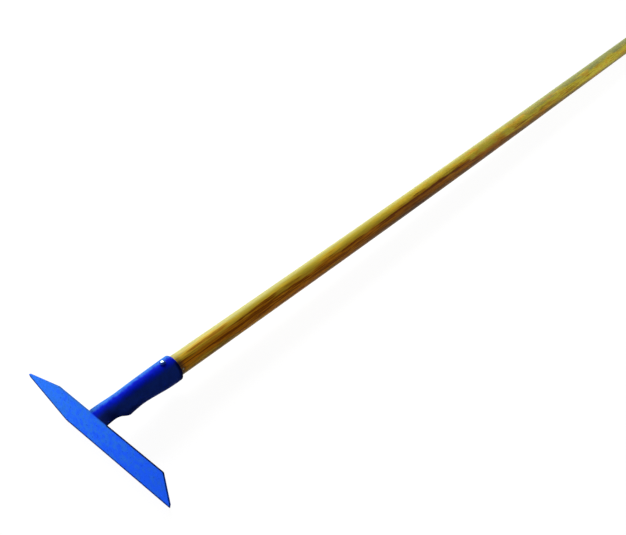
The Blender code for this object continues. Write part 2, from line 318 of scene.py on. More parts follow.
def ramp(value, start, end):
    """0 before start and 1 after end, with no corner between them."""
    t = min(max((value - start) / (end - start), 0.0), 1.0)
    return t * t * (3.0 - 2.0 * t)


def tool_matrix(record):
    """The tool's frame in the row frame, from the mount on the handle's far end."""
    mount = next(m for m in record["mounts"] if m["name"] == "handle_end")
    along = Vector(mount["axis"]).normalized()
    across = Vector((1.0, 0.0, 0.0))
    rotation = Matrix((across, along, across.cross(along))).transposed()
    origin = Vector(mount["pos_m"]) - along * (SEAT_Y + HANDLE_LENGTH)
    return Matrix.Translation(origin) @ rotation.to_4x4()


def slope_at(stations, i, column):
    """Slope of one column of the stations at station i, from the stations beside it."""
    low = stations[max(i - 1, 0)]
    high = stations[min(i + 1, len(stations) - 1)]
    return (high[column] - low[column]) / (high[0] - low[0])


def through_stations(stations, y, column):
    """A smooth curve through one column of the stations, read at y."""
    i = 0
    while i < len(stations) - 2 and y > stations[i + 1][0]:
        i += 1
    a, b = stations[i], stations[i + 1]
    length = b[0] - a[0]
    t = min(max((y - a[0]) / length, 0.0), 1.0)
    rise_a = slope_at(stations, i, column) * length
    rise_b = slope_at(stations, i + 1, column) * length
    blend = ramp(t, 0.0, 1.0)
    value = a[column] * (1.0 - blend) + b[column] * blend
    return value + rise_a * t * (1.0 - t) ** 2 - rise_b * t * t * (1.0 - t)


def socket_radius(y):
    """Outer radius of the rolled socket."""
    return THROAT_RADIUS + (MOUTH_RADIUS - THROAT_RADIUS) * ramp(y, TAPER_START_Y, TAPER_END_Y)


def section_form(y):
    """Height of the spine and curvature of the sheet across the head at y."""
    neck_end = NECK_STATIONS[-1][0]
    if y <= neck_end:
        return through_stations(NECK_STATIONS, y, 1), through_stations(NECK_STATIONS, y, 2)
    settled = ramp(y, neck_end, neck_end + SETTLE_LENGTH)
    neck_height = NECK_STATIONS[-1][1]
    return neck_height + (SPINE_HEIGHT - neck_height) * settled, 1.0 / socket_radius(y)


def half_width(y):
    """Half the sheet's width, measured round it: neck, shoulders, then the socket up to its seam."""
    past = y - SPREAD_START_Y
    spread = NECK_HALF_WIDTH + SPREAD_RATE * 0.5 * (past + math.hypot(past, SPREAD_FILLET))
    return min(spread, math.pi * socket_radius(y) - 0.5 * SEAM_GAP)


def bend_middle():
    """The centre that the sheet's outer face is bent round."""
    return Vector((0.0, BACK_EDGE_Y + BEND_RADIUS * math.sin(BLADE_ANGLE), NECK_HEIGHT - BEND_RADIUS))


def blade_point(x, drop, depth=0.0):
    """A point of the blade: x along it, drop from its back edge, depth in from its outer face."""
    down = Vector((0.0, -math.cos(BLADE_ANGLE), -math.sin(BLADE_ANGLE)))
    out = Vector((0.0, -math.sin(BLADE_ANGLE), math.cos(BLADE_ANGLE)))
    return bend_middle() + out * (BEND_RADIUS - depth) + Vector((x, 0.0, 0.0)) + down * drop


def ripple(x, y):
    """How far the rolled sheet stands off its even form."""
    return ramp(y, *RIPPLE_UP) * RIPPLE * noise.noise(Vector((x, y * RIPPLE_Y_SCALE, 0.0)) / RIPPLE_SIZE)


def outer_point(s, along):
    """The sheet's outer face. s runs from the blade's back edge round the bend and up the socket."""
    bend = BEND_RADIUS * BLADE_ANGLE
    if s < 0.0:
        return blade_point(along, -s)
    if s < bend:
        turn = BLADE_ANGLE * (1.0 - s / bend)
        out = Vector((0.0, -math.sin(turn), math.cos(turn)))
        return bend_middle() + out * BEND_RADIUS + Vector((along, 0.0, 0.0))
    y = bend_middle().y + s - bend
    height, curvature = section_form(y)
    turn = along * curvature
    if abs(turn) < 1e-5:
        return Vector((along, y, height))
    lift = ripple(along, y)
    x = math.sin(turn) * (1.0 / curvature + lift)
    return Vector((x, y, height - (1.0 - math.cos(turn)) / curvature + math.cos(turn) * lift))


def sheet_point(s, along, depth):
    """A point in the sheet, depth in from its outer face."""
    step = 0.0002
    across = outer_point(s, along + step) - outer_point(s, along - step)
    up = outer_point(s + step, along) - outer_point(s - step, along)
    return outer_point(s, along) - across.cross(up).normalized() * depth


def round_edge(radius, thickness, shrink):
    """The sheet's rounded edge as (inset from the edge, depth), from the outer face to the inner one."""
    quarter = [0.5 * math.pi * i / ROUND_STEPS for i in range(ROUND_STEPS + 1)]
    reach = radius - shrink
    outer = [(radius - reach * math.sin(turn), radius - reach * math.cos(turn)) for turn in quarter]
    inner = [(inset, thickness - depth) for inset, depth in reversed(outer)]
    return [(2.0 * radius, shrink)] + outer + inner + [(2.0 * radius, thickness - shrink)]


def section_ring(half, shrink=0.0):
    """A closed ring round the sheet's section as (along, depth): outer face, edge, inner face, edge."""
    edge = round_edge(EDGE_ROUND, SHEET, shrink)
    flat = half - 2.0 * EDGE_ROUND
    columns = [flat * (2.0 * i / SECTION_STEPS - 1.0) for i in range(1, SECTION_STEPS)]
    ring = [(along, shrink) for along in columns]
    ring += [(half - inset, depth) for inset, depth in edge]
    ring += [(-along, SHEET - shrink) for along in columns]
    ring += [(inset - half, depth) for inset, depth in reversed(edge)]
    return ring


def sheet_rings():
    """Rings from the blade's back edge up to the socket's mouth, whose end is rounded over."""
    top_inset = 2.0 * EDGE_ROUND
    neck = half_width(bend_middle().y)
    back_edge = []
    for along, depth in section_ring(neck):
        back_edge.append(blade_point(along, min(neck - abs(along), top_inset), depth))
    rings = [back_edge]
    bend = BEND_RADIUS * BLADE_ANGLE
    places = [(bend * i / BEND_STEPS, 0.0) for i in range(1, BEND_STEPS)]
    mouth = bend + MOUTH_Y - bend_middle().y
    rows = round((mouth - EDGE_ROUND - bend) / ROW_LENGTH)
    places += [(bend + (mouth - EDGE_ROUND - bend) * i / rows, 0.0) for i in range(rows)]
    for i in range(ROUND_STEPS + 1):
        turn = 0.5 * math.pi * i / ROUND_STEPS
        shrink = EDGE_ROUND * (1.0 - math.cos(turn))
        places.append((mouth - EDGE_ROUND * (1.0 - math.sin(turn)), shrink))
    for s, shrink in places:
        y = bend_middle().y + max(s - bend, 0.0)
        ring = section_ring(half_width(y), shrink)
        rings.append([sheet_point(s, along, depth) for along, depth in ring])
    return rings


def inward(before, corner, after):
    """The move from a corner of an outline that brings it one unit in from both of its edges."""
    first = (corner - before).normalized()
    second = (after - corner).normalized()
    first_in = Vector((-first.y, first.x))
    second_in = Vector((-second.y, second.x))
    return (first_in + second_in) / (1.0 + first_in.dot(second_in))


def rounded_corner(before, corner, after, radius):
    """An arc that takes the place of a corner of a flat outline."""
    back = (before - corner).normalized()
    on = (after - corner).normalized()
    half = 0.5 * back.angle(on)
    middle = corner + (back + on).normalized() * (radius / math.sin(half))
    start = corner + back * (radius / math.tan(half)) - middle
    turn = start.angle_signed(corner + on * (radius / math.tan(half)) - middle)
    points = []
    for i in range(CORNER_STEPS + 1):
        angle = -turn * i / CORNER_STEPS
        cos, sin = math.cos(angle), math.sin(angle)
        points.append(middle + Vector((start.x * cos - start.y * sin, start.x * sin + start.y * cos)))
    return points


def edge_distance(point, start, end):
    """How far a point of the blade lies in from the line through a stretch of its edge."""
    along = (end - start).normalized()
    return (point - start).dot(Vector((-along.y, along.x)))


def ground_depth(point):
    """The blade's thickness at a point, less where its cutting edges are ground."""
    distance = min(edge_distance(point, TIP_RIGHT, KINK), edge_distance(point, KINK, TIP_LEFT_LOWER))
    return min(SHEET, EDGE_LAND + (SHEET - EDGE_LAND) * distance / GROUND_WIDTH)


def crease_crossing(start, end, edge_start, edge_end):
    """Where the ground face's crease crosses the outline from start to end, and its way in from it."""
    first = edge_distance(start, edge_start, edge_end)
    last = edge_distance(end, edge_start, edge_end)
    point = start.lerp(end, (GROUND_WIDTH - first) / (last - first))
    side = (end - start).normalized()
    side_in = Vector((-side.y, side.x))
    crease = (edge_end - edge_start).normalized()
    return point, crease / crease.dot(side_in)


def blade_outline():
    """The blade's edge from the neck's right side round to its left: a list of (point, way in, most that
    its edge may be rounded), and the places in it of the crease's right end, the kink and the crease's
    left end."""
    neck = half_width(bend_middle().y)
    neck_right = Vector((neck, 0.0))
    neck_left = Vector((-neck, 0.0))
    corners = (
        (neck_right, 0.0),
        (BACK_RIGHT, BACK_CORNER_RADIUS),
        (TIP_RIGHT, TIP_RADIUS),
        (KINK, KINK_RADIUS),
        (TIP_LEFT_LOWER, TIP_RADIUS),
        (TIP_LEFT, TIP_RADIUS),
        (BACK_LEFT, BACK_LEFT_RADIUS),
        (neck_left, 0.0),
    )
    up = Vector((0.0, -neck))
    path = [neck_right + up] + [corner for corner, _ in corners] + [neck_left + up]
    corner_points = CORNER_STEPS + 1
    points, rooms = [], []
    for i, (corner, radius) in enumerate(corners):
        if radius:
            points += rounded_corner(path[i], corner, path[i + 2], radius)
            rooms += [CORNER_SHARE * radius] * corner_points
        else:
            points.append(corner)
            rooms.append(EDGE_ROUND)
    ends = [path[0]] + points + [path[-1]]
    outline = [(point, inward(ends[i], point, ends[i + 2]), rooms[i]) for i, point in enumerate(points)]
    right_crease = 1 + corner_points
    crossing = crease_crossing(BACK_RIGHT, TIP_RIGHT, TIP_RIGHT, KINK)
    outline.insert(right_crease, (*crossing, EDGE_ROUND))
    kink = right_crease + 1 + corner_points + CORNER_STEPS // 2
    left_crease = right_crease + 1 + 4 * corner_points
    crossing = crease_crossing(TIP_LEFT, BACK_LEFT, KINK, TIP_LEFT_LOWER)
    outline.insert(left_crease, (*crossing, EDGE_ROUND))
    return outline, right_crease, kink, left_crease


def join_rings(shape, rings):
    """Adds the faces between each closed ring of points and the next."""
    for lower, upper in zip(rings, rings[1:]):
        for j in range(len(lower)):
            k = (j + 1) % len(lower)
            shape.faces.new((lower[j], lower[k], upper[k], upper[j]))


def close_mouth(shape, mouth):
    """Adds the socket's end face, which joins each outer column of its last ring to the inner one."""
    for j in range(FACE_POINTS + 1):
        inner = 2 * FACE_POINTS + EDGE_POINTS - 1 - j
        shape.faces.new((mouth[j - 1], mouth[j], mouth[inner], mouth[(inner + 1) % len(mouth)]))


def add_rim(shape, outline):
    """Adds the blade's rounded edge, and gives its columns of points, one for each of the outline."""
    rim = []
    for point, way_in, room in outline:
        thickness = ground_depth(point)
        radius = min(EDGE_ROUND, room, THIN_EDGE_SHARE * thickness)
        column = []
        for inset, depth in round_edge(radius, thickness, 0.0):
            place = point + way_in * inset
            if depth > 0.5 * thickness:
                depth += ground_depth(place) - thickness
            column.append(shape.verts.new(blade_point(place.x, place.y, depth)))
        rim.append(column)
    for left, right in zip(rim, rim[1:]):
        for a, b, c, d in zip(left, left[1:], right[1:], right):
            shape.faces.new((a, b, c, d))
    return rim


def add_blade(shape, back_edge):
    """Adds the blade below its back edge: its rim, its outer face and, on its hidden side, a flat face
    and two ground ones."""
    outline, right_crease, kink, left_crease = blade_outline()
    rim = add_rim(shape, outline)
    shape.faces.new([column[0] for column in rim] + back_edge[:FACE_POINTS])
    corner = KINK + inward(TIP_RIGHT, KINK, TIP_LEFT_LOWER) * GROUND_WIDTH
    crease = shape.verts.new(blade_point(corner.x, corner.y, SHEET))
    inside = [column[-1] for column in rim]
    inner_start = FACE_POINTS + EDGE_POINTS
    inner_row = back_edge[inner_start:inner_start + FACE_POINTS]
    shape.faces.new(inside[:right_crease + 1] + [crease] + inside[left_crease:] + inner_row[::-1])
    shape.faces.new(inside[right_crease:kink + 1] + [crease])
    shape.faces.new(inside[kink:left_crease + 1] + [crease])


def finished_mesh(name, shape):
    """The shape as a mesh."""
    mesh = bpy.data.meshes.new(name)
    shape.to_mesh(mesh)
    shape.free()
    return mesh


def head_mesh():
    """The whole pressing: the bent and rolled sheet as closed rings, and the blade as flat faces."""
    shape = bmesh.new()
    rings = [[shape.verts.new(point) for point in ring] for ring in sheet_rings()]
    join_rings(shape, rings)
    close_mouth(shape, rings[-1])
    add_blade(shape, rings[0])
    bmesh.ops.remove_doubles(shape, verts=shape.verts, dist=WELD_DISTANCE)
    bmesh.ops.dissolve_degenerate(shape, edges=shape.edges, dist=WELD_DISTANCE)
    bmesh.ops.recalc_face_normals(shape, faces=shape.faces)
    return finished_mesh("painted_head", shape)


def turned_mesh(name, profile, steps, axis):
    """A closed mesh turned from (radius, place along the axis), which starts and ends with radius 0."""
    shape = bmesh.new()
    rings = []
    for radius, place in profile:
        ring = []
        for i in range(steps):
            turn = 2.0 * math.pi * i / steps
            x, z = radius * math.sin(turn), radius * math.cos(turn)
            ring.append(shape.verts.new((x, place, z) if axis == "Y" else (x, z, place)))
        rings.append(ring)
    join_rings(shape, rings)
    bmesh.ops.remove_doubles(shape, verts=shape.verts, dist=WELD_DISTANCE)
    bmesh.ops.recalc_face_normals(shape, faces=shape.faces)
    return finished_mesh(name, shape)


def handle_profile():
    """Radius and y of the handle, from the middle of its seated end to the middle of its far end."""
    seat_end = socket_radius(SEAT_Y) - SHEET - SEAT_GAP
    profile = [(0.0, SEAT_Y), (seat_end - SEAT_CHAMFER, SEAT_Y)]
    far = SEAT_Y + HANDLE_LENGTH
    start = SEAT_Y + SEAT_CHAMFER
    rows = round((far - END_ROUNDING - start) / HANDLE_ROW)
    for i in range(rows):
        y = start + (far - END_ROUNDING - start) * i / rows
        profile.append((min(HANDLE_RADIUS, socket_radius(y) - SHEET - SEAT_GAP), y))
    for i in range(HANDLE_END_STEPS + 1):
        turn = 0.5 * math.pi * i / HANDLE_END_STEPS
        radius = HANDLE_RADIUS - END_ROUNDING * (1.0 - math.cos(turn))
        profile.append((radius, far - END_ROUNDING * (1.0 - math.sin(turn))))
    profile += [(0.5 * profile[-1][0], far), (0.0, far)]
    return profile


def handle_mesh():
    """The turned handle, lifted where it is seated, a little uneven, and bowed as real wood is."""
    mesh = turned_mesh("varnished_handle", handle_profile(), HANDLE_STEPS, "Y")
    for vert in mesh.vertices:
        x, y, z = vert.co
        from_end = SEAT_Y + HANDLE_LENGTH - y
        free = ramp(y, MOUTH_Y, MOUTH_Y + EVEN_LENGTH) * ramp(from_end, END_ROUNDING, EVEN_LENGTH)
        uneven = 1.0 + free * UNEVEN / HANDLE_RADIUS * noise.noise(vert.co * UNEVEN_PER_METRE)
        bow = BOW * math.sin(math.pi * (y - MOUTH_Y) / (BOW_END_Y - MOUTH_Y)) if y > MOUTH_Y else 0.0
        vert.co.x = x * uneven + bow
        vert.co.z = z * uneven + max(0.0, SPINE_HEIGHT - socket_radius(y))
    return mesh


def nail_mesh():
    """The nail along z, with the underside of its head at 0 and its dome dented by the hammer."""
    profile = [(0.0, -NAIL_LENGTH), (NAIL_RADIUS, NAIL_POINT - NAIL_LENGTH), (NAIL_RADIUS, 0.0)]
    profile += [(NAIL_HEAD_RADIUS - NAIL_HEAD_CORNER, 0.0), (NAIL_HEAD_RADIUS, NAIL_HEAD_CORNER)]
    dome = NAIL_HEAD_HEIGHT - NAIL_HEAD_RIM
    for i in range(NAIL_DOME_STEPS + 1):
        turn = 0.5 * math.pi * i / NAIL_DOME_STEPS
        profile.append((NAIL_HEAD_RADIUS * math.cos(turn), NAIL_HEAD_RIM + dome * math.sin(turn)))
    mesh = turned_mesh("domed_nail", profile, NAIL_STEPS, "Z")
    for vert in mesh.vertices:
        if vert.co.z > NAIL_HEAD_RIM:
            vert.co.z -= NAIL_DENT * (0.5 + noise.noise(vert.co * NAIL_DENTS_PER_METRE))
    return mesh


def new_piece(mesh, matrix, material, node):
    """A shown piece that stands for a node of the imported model."""
    piece = bpy.data.objects.new(mesh.name, mesh)
    bpy.context.scene.collection.objects.link(piece)
    piece.matrix_world = matrix
    mesh.materials.append(material)
    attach(piece, "root")
    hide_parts(node)
    return piece


def drill(piece, matrix):
    """Cuts the nail's hole through a piece and keeps the result."""
    bottom = SPINE_HEIGHT - NAIL_LENGTH - NAIL_CLEARANCE
    top = SPINE_HEIGHT + NAIL_HEAD_HEIGHT
    radius = NAIL_RADIUS + NAIL_CLEARANCE
    shape = bmesh.new()
    bmesh.ops.create_cone(
        shape, cap_ends=True, segments=NAIL_STEPS, radius1=radius, radius2=radius, depth=top - bottom
    )
    bmesh.ops.translate(shape, verts=shape.verts, vec=(0.0, 0.0, 0.5 * (top + bottom)))
    cutter = bpy.data.objects.new("nail_drill", finished_mesh("nail_drill", shape))
    bpy.context.scene.collection.objects.link(cutter)
    cutter.matrix_world = matrix
    cut = piece.modifiers.new("nail_hole", "BOOLEAN")
    cut.object = cutter
    graph = bpy.context.evaluated_depsgraph_get()
    drilled = bpy.data.meshes.new_from_object(piece.evaluated_get(graph))
    drilled.name = piece.data.name + "_drilled"
    piece.modifiers.clear()
    piece.data = drilled
    bpy.data.objects.remove(cutter, do_unlink=True)


def smooth(piece, degrees):
    """Smooth shading, apart from the edges that are sharper than an angle."""
    piece.data.shade_smooth()
    piece.data.set_sharp_from_angle(angle=math.radians(degrees))


class Nodes:
    """A short way to build a node tree."""

    def __init__(self, tree):
        self.tree = tree

    def add(self, kind, settings=None, **inputs):
        """A node of that kind. Names of sockets are written with _ for a space."""
        node = self.tree.nodes.new("ShaderNode" + kind)
        for name, value in (settings or {}).items():
            setattr(node, name, value)
        for name, value in inputs.items():
            self.put(node.inputs[name.replace("_", " ")], value)
        return node

    def put(self, socket, value):
        """Links another node's output to a socket, or sets the socket to a value."""
        if isinstance(value, bpy.types.NodeSocket):
            self.tree.links.new(value, socket)
        else:
            socket.default_value = value

    def math(self, operation, a, b=0.0):
        """A number from one or two numbers."""
        node = self.add("Math", {"operation": operation})
        self.put(node.inputs[0], a)
        self.put(node.inputs[1], b)
        return node.outputs[0]

    def plus(self, a, b):
        return self.math("ADD", a, b)

    def minus(self, a, b):
        return self.math("SUBTRACT", a, b)

    def times(self, a, b):
        return self.math("MULTIPLY", a, b)

    def vector(self, operation, a, b=None):
        """A vector from one or two vectors, or a number where the operation gives one."""
        node = self.add("VectorMath", {"operation": operation})
        self.put(node.inputs[0], a)
        if b is not None:
            self.put(node.inputs[1], b)
        number = operation in ("DOT_PRODUCT", "DISTANCE", "LENGTH")
        return node.outputs["Value" if number else "Vector"]

    def spread(self, value, span, ends=(0.0, 1.0)):
        """A value, mapped smoothly from the two ends of a span to two other values."""
        node = self.add("MapRange", {"interpolation_type": "SMOOTHSTEP"})
        for socket, number in zip(node.inputs, (value, *span, *ends)):
            self.put(socket, number)
        return node.outputs["Result"]

    def jitter(self, value, pattern, span, reach):
        """A value, moved up to reach down or up by a noise over its span."""
        return self.plus(value, self.spread(pattern, span, (-reach, reach)))

    def mix(self, share, a, b):
        """Colour a where share is 0 and b where it is 1."""
        node = self.add("Mix", {"data_type": "RGBA"})
        self.put(node.inputs["Factor"], share)
        self.put(node.inputs["A"], a)
        self.put(node.inputs["B"], b)
        return node.outputs["Result"]

    def noise(self, vector, size, detail, roughness=0.5):
        """Noise from about 0 to 1 whose spots are about size metres."""
        node = self.add("TexNoise", Vector=vector, Scale=1.0 / size, Detail=detail, Roughness=roughness)
        return node.outputs[0]

    def grain(self, vector, stretch, size, detail, roughness=0.5):
        """Noise with long spots along the handle. stretch is their width for each metre of length."""
        return self.noise(self.vector("MULTIPLY", vector, (1.0, stretch, 1.0)), size, detail, roughness)

    def bump(self, height, strength):
        """The surface's normal, with a fine relief."""
        return self.add("Bump", Height=height, Distance=GRAIN_DEPTH, Strength=strength).outputs["Normal"]


def new_material(name):
    """A material, its nodes and Principled shader, and a point's place in the piece's own frame."""
    material = bpy.data.materials.new(name)
    material.use_nodes = True
    shader = material.node_tree.nodes["Principled BSDF"]
    nodes = Nodes(material.node_tree)
    place = nodes.add("TexCoord").outputs["Object"]
    return material, nodes, shader, place


def set_gloss(shader, specular, tint):
    """Sets how strongly a surface reflects, and in which colour."""
    shader.inputs["Specular IOR Level"].default_value = specular
    shader.inputs["Specular Tint"].default_value = tint


def from_cutting_edge(nodes, place):
    """How far a point of the blade lies in from the nearer of its two cutting edges, in metres."""
    distances = []
    for start, end in ((TIP_RIGHT, KINK), (KINK, TIP_LEFT_LOWER)):
        along = (end - start).normalized()
        way_in = blade_point(-along.y, along.x) - blade_point(0.0, 0.0)
        edge = way_in.dot(blade_point(start.x, start.y))
        distances.append(nodes.minus(nodes.vector("DOT_PRODUCT", place, way_in), edge))
    return nodes.math("MINIMUM", *distances)


def deep_paint(nodes, place, cloud):
    """Colour of the neck and the socket: a painted highlight in azure on the lit side, then deep blue,
    then navy as painted shade on the shaded side, with darker painted shade at the neck, the mouth and
    the shoulders.
    """
    axes = nodes.add("SeparateXYZ", Vector=place)
    along_blade, up_tool = axes.outputs["X"], axes.outputs["Y"]
    side = nodes.vector("DOT_PRODUCT", place, SHADED_SIDE)
    side = nodes.jitter(side, cloud, NOISE_RANGE, PAINT_WANDER)
    # Deep blue, darkening to navy towards the shaded side: painted shade
    colour = nodes.mix(nodes.spread(side, NAVY_SIDE), PAINT_DEEP, PAINTED_SHADE_NAVY)
    # A painted highlight in azure along the socket's lit side, wider on the neck
    azure_side = nodes.minus(side, nodes.spread(up_tool, AZURE_UP, (AZURE_WIDER, 0.0)))
    colour = nodes.mix(nodes.spread(azure_side, AZURE_SIDE), PAINTED_HIGHLIGHT_BLUE, colour)
    # Painted shade along the socket's mouth on the shaded side
    rim = nodes.times(nodes.spread(up_tool, MOUTH_SHADE_UP), nodes.spread(side, MOUTH_SHADE_SIDE))
    colour = nodes.mix(rim, colour, PAINTED_SHADE_DARK)
    # Painted shade on the neck behind the bend, on the side of the blade's square end
    neck = nodes.spread(up_tool, NECK_SHADE_UP, (1.0, 0.0))
    neck = nodes.times(neck, nodes.spread(along_blade, NECK_SHADE_ALONG))
    colour = nodes.mix(neck, colour, PAINTED_SHADE_DARK)
    # Painted shade on the shaded side of the shoulders
    shoulder_shade = nodes.spread(up_tool, SHOULDER_SHADE_UP, (SHOULDER_SHADE_STRENGTH, 0.0))
    shoulder_shade = nodes.times(shoulder_shade, nodes.spread(side, SHOULDER_SHADE_SIDE))
    return nodes.mix(shoulder_shade, colour, PAINTED_SHADE_DARK)


def blade_paint(nodes, place, cloud):
    """Colour of the blade: lighter at its long point and a brighter blue at its square end, in soft
    clouds;
    the change is painted light that falls off along the blade.
    """
    along_blade = nodes.add("SeparateXYZ", Vector=place).outputs["X"]
    along_clouded = nodes.jitter(along_blade, cloud, NOISE_CORE, -BRIGHT_WANDER)
    return nodes.mix(nodes.spread(along_clouded, BRIGHT_ALONG), PAINT_LIT_POINT, PAINT_BRIGHT)


def paint_material():
    """Blue enamel on sheet steel, with a dark navy line along the cutting edges, flecks and dull spots.
    """
    material, nodes, shader, place = new_material("blue_enamel")
    up_tool = nodes.add("SeparateXYZ", Vector=place).outputs["Y"]
    cloud = nodes.noise(place, size=0.0075, detail=3.0, roughness=0.6)
    fleck = nodes.noise(place, size=0.0015, detail=2.0, roughness=0.6)
    on_neck = nodes.spread(up_tool, BLADE_TO_NECK_UP)
    colour = nodes.mix(on_neck, blade_paint(nodes, place, cloud), deep_paint(nodes, place, cloud))
    # A dark navy line along the cutting edges
    edge_line = nodes.jitter(from_cutting_edge(nodes, place), fleck, NOISE_MIDDLE, EDGE_LINE_WANDER)
    colour = nodes.mix(nodes.spread(edge_line, EDGE_LINE_WIDTH, (EDGE_LINE_STRENGTH, 0.0)), colour, DARK_EDGE_LINE)
    spatter = nodes.noise(place, size=0.0030, detail=1.0)
    spatter = nodes.spread(spatter, SPATTER_SPAN, (0.0, SPATTER_STRENGTH))
    colour = nodes.mix(spatter, colour, FLECK_BLUE)
    dull = nodes.add("HueSaturation", Color=colour, **DULL_PAINT).outputs["Color"]
    dull_clouds = nodes.spread(cloud, DULL_CLOUD_SPAN, (0.0, DULL_STRENGTH))
    dull_flecks = nodes.spread(fleck, DULL_FLECK_SPAN, (0.0, DULL_STRENGTH))
    colour = nodes.mix(nodes.plus(dull_clouds, dull_flecks), colour, dull)
    nodes.put(shader.inputs["Base Color"], colour)
    nodes.put(shader.inputs["Roughness"], nodes.spread(cloud, NOISE_MIDDLE, PAINT_ROUGHNESS))
    set_gloss(shader, PAINT_SPECULAR, PAINT_TINT)
    skin = nodes.noise(place, size=0.0013, detail=2.0)
    nodes.put(shader.inputs["Normal"], nodes.bump(skin, strength=0.5))
    return material


def open_pores(nodes, place):
    """0 in the dense wood of each growth ring, and up to 1 in its early wood."""
    drift = nodes.grain(place, stretch=0.04, size=0.010, detail=2.0)
    across = nodes.vector("MULTIPLY", place, (1.0, 0.0, 1.0))
    from_pith = nodes.vector("LENGTH", nodes.vector("SUBTRACT", across, PITH))
    age = nodes.plus(nodes.times(from_pith, 1.0 / RING_WIDTH), nodes.times(drift, RING_DRIFT))
    return nodes.spread(nodes.math("FRACT", age), EARLY_WOOD)


def wood_colour(nodes, place, up_tool, streak):
    """Colour of the wood between its marks, painted lighter on the lit side and browner on the shaded
    side as painted light and shade, and how far a point lies towards the shaded side, moved by the
    streaks and patches."""
    true_side = nodes.vector("DOT_PRODUCT", place, SHADED_SIDE)
    patch = nodes.grain(place, stretch=0.22, size=0.010, detail=2.0)
    pale_side = nodes.jitter(true_side, streak, NOISE_RANGE, STREAK_WANDER)
    pale_side = nodes.jitter(pale_side, patch, NOISE_MIDDLE, PATCH_WANDER)
    pale_side = nodes.minus(pale_side, nodes.spread(up_tool, PALE_UP, (0.0, PALE_WIDER)))
    side = nodes.minus(pale_side, nodes.spread(up_tool, BROWN_UP, (0.0, BROWN_NARROWER)))
    # Painted light and shade round the handle: pale on the lit side, honey, then brown on the shaded
    # side
    pale = nodes.mix(nodes.spread(true_side, GOLD_SIDE), WOOD_STRAW, WOOD_GOLD)
    pale = nodes.mix(nodes.spread(up_tool, KHAKI_UP), pale, WOOD_KHAKI)
    honey = nodes.mix(nodes.spread(up_tool, OLIVE_UP), WOOD_HONEY, WOOD_OLIVE)
    brown = nodes.mix(nodes.spread(up_tool, UMBER_UP), WOOD_BROWN, WOOD_UMBER)
    brown = nodes.mix(nodes.spread(up_tool, BROWN_TO_OLIVE_UP), brown, WOOD_OLIVE)
    colour = nodes.mix(nodes.spread(pale_side, HONEY_SIDE), pale, honey)
    colour = nodes.mix(nodes.spread(side, BROWN_SIDE), colour, brown)
    # Painted bounce light from the floor: honey on the handle's shaded edge, fading out further up
    edge = nodes.spread(up_tool, BOUNCE_LIGHT_UP, BOUNCE_LIGHT_STRENGTHS)
    colour = nodes.mix(nodes.times(nodes.spread(side, BOUNCE_LIGHT_SIDE), edge), colour, honey)
    # Painted shade: dark along the handle's shaded edge further up
    edge_shade = nodes.spread(up_tool, EDGE_SHADE_UP, (0.0, EDGE_SHADE_STRENGTH))
    colour = nodes.mix(nodes.times(nodes.spread(true_side, EDGE_SHADE_SIDE), edge_shade), colour, WOOD_EDGE_SHADE)
    blotch = nodes.grain(place, stretch=0.3, size=0.009, detail=3.0, roughness=0.65)
    strength = nodes.spread(up_tool, BLOTCH_UP, (0.0, BLOTCH_STRENGTH))
    blotch = nodes.times(nodes.spread(blotch, BLOTCH_SPAN), strength)
    blotch = nodes.times(blotch, nodes.spread(true_side, BLOTCH_SIDE))
    return nodes.mix(blotch, colour, WOOD_BROWN), side


def wood_material():
    """Varnished ash: growth rings that run along the handle, long streaks and fine open pores."""
    material, nodes, shader, place = new_material("varnished_ash")
    up_tool = nodes.add("SeparateXYZ", Vector=place).outputs["Y"]
    streak = nodes.grain(place, stretch=0.034, size=0.0036, detail=3.0, roughness=0.65)
    fibre = nodes.grain(place, stretch=0.030, size=0.0008, detail=3.0, roughness=0.6)
    early_wood = open_pores(nodes, place)
    colour, side = wood_colour(nodes, place, up_tool, streak)
    dark = nodes.add("HueSaturation", Color=colour, **DARK_WOOD).outputs["Color"]
    rings = nodes.times(early_wood, RING_STRENGTH)
    lines = nodes.plus(rings, nodes.spread(streak, STREAK_SPAN, (0.0, STREAK_STRENGTH)))
    pores = nodes.spread(early_wood, (0.0, 1.0), PORE_STRENGTHS)
    pores = nodes.times(nodes.spread(fibre, PORE_SPAN), pores)
    mark = nodes.math("MAXIMUM", lines, pores)
    mark = nodes.times(mark, nodes.spread(side, MARK_SIDE, MARK_STRENGTHS))
    mark = nodes.times(mark, nodes.spread(up_tool, MARK_UP, (1.0, MARK_FAR_STRENGTH)))
    colour = nodes.mix(mark, colour, dark)
    # Painted shadow on the wood beside the socket's mouth, strongest on the shaded side
    mouth_shadow = nodes.spread(up_tool, MOUTH_SHADOW_UP, (1.0, 0.0))
    mouth_shadow = nodes.times(mouth_shadow, nodes.spread(side, MOUTH_SHADOW_SIDE, MOUTH_SHADOW_STRENGTHS))
    colour = nodes.mix(mouth_shadow, colour, MOUTH_SHADOW)
    from_speck = nodes.vector("DISTANCE", place, SPECK)
    speck = nodes.spread(from_speck, (0.4 * SPECK_SIZE, SPECK_SIZE), (1.0, 0.0))
    nodes.put(shader.inputs["Base Color"], nodes.mix(speck, colour, SPECK_COLOUR))
    nodes.put(shader.inputs["Roughness"], nodes.spread(fibre, NOISE_MIDDLE, WOOD_ROUGHNESS))
    set_gloss(shader, WOOD_SPECULAR, WOOD_TINT)
    nodes.put(shader.inputs["Normal"], nodes.bump(nodes.minus(fibre, pores), strength=0.4))
    return material


